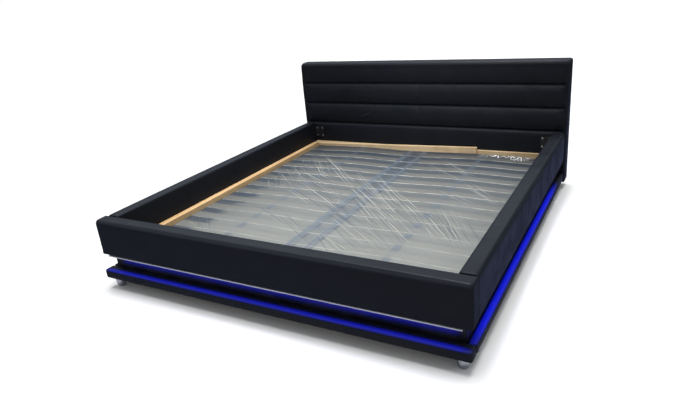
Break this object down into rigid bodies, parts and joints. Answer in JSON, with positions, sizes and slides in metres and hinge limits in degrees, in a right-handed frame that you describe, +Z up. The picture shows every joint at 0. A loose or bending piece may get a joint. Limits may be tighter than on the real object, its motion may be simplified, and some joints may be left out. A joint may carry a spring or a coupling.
{
  "type": "upholstered bed",
  "caption": "Double bed with leather-covered rails, a channelled headboard, a lit and recessed plinth on chrome feet, and a lift-out slatted base under clear film.",
  "frame": {"origin": "on the floor, under the middle of the bed's overall width and length", "axes": "+Z up, +Y from the foot towards the headboard, +X to the right of someone who looks at the bed from its foot"},
  "size_m": [2.022, 2.2253, 0.859],
  "materials": {
    "black_leather": "satin",
    "black_board": "satin black lacquer",
    "board": "raw board",
    "pine": "planed, untreated",
    "beech": "smooth laminated",
    "chrome": "polished",
    "aluminium": "anodised",
    "black_steel": "black powder coat",
    "grey_steel": "grey powder coat",
    "black_plastic": "matte",
    "blue_light": "lit strip under clear resin",
    "clear_film": "thin clear film"
  },
  "bodies": {
    "bed_frame": {"foot_front_left": "chrome", "foot_front_right": "chrome", "foot_side_left": "chrome", "foot_side_right": "chrome", "foot_rear_left": "chrome", "foot_rear_right": "chrome", "plinth_front": "black_board", "plinth_head": "black_board", "plinth_left": "black_board", "plinth_right": "black_board", "ledge_front": "black_leather", "ledge_left": "black_leather", "ledge_right": "black_leather", "side_rail_left_cover": "black_leather", "side_rail_left_board": "board", "side_rail_right_cover": "black_leather", "side_rail_right_board": "board", "footboard_cover": "black_leather", "footboard_board": "board", "headboard_base_pad": "black_leather", "headboard_bolster_lower": "black_leather", "headboard_bolster_middle": "black_leather", "headboard_bolster_top": "black_leather", "headboard_wrap": "black_leather", "headboard_panel": "board", "headboard_post_left": "pine", "headboard_post_right": "pine", "headboard_top_rail": "pine", "headboard_bottom_rail": "pine", "guide_batten_head": "pine", "guide_batten_left": "pine", "guide_batten_right": "pine", "slanted_batten": "pine", "support_batten_left": "pine", "support_batten_right": "pine", "support_batten_head": "pine", "support_batten_foot": "pine", "corner_plate_head_left": "black_steel", "corner_plate_head_right": "black_steel", "corner_plate_foot_left": "black_steel", "corner_plate_foot_right": "black_steel", "light_profile_front": "aluminium", "light_strip_front": "blue_light", "light_strip_left": "blue_light", "light_strip_right": "blue_light", "light_driver": "black_plastic"},
    "slat_base": {"slat_frame_left": "grey_steel", "slat_frame_right": "grey_steel", "slat_frame_head": "grey_steel", "slat_frame_foot": "grey_steel", "slat_frame_middle_left": "grey_steel", "slat_frame_middle_right": "grey_steel", "slat_frame_tie_head": "grey_steel", "slat_frame_tie_middle": "grey_steel", "slat_frame_tie_foot": "grey_steel", "middle_leg_head": "grey_steel", "middle_leg_foot": "grey_steel", "slats_left": "beech", "slats_right": "beech", "protective_film": "clear_film"}
  },
  "joints": [
    {"name": "slat_base_lift", "type": "slide", "parent": "bed_frame", "child": "slat_base", "axis": [0, 0, 1], "range_m": [0, 0.42]}
  ]
}
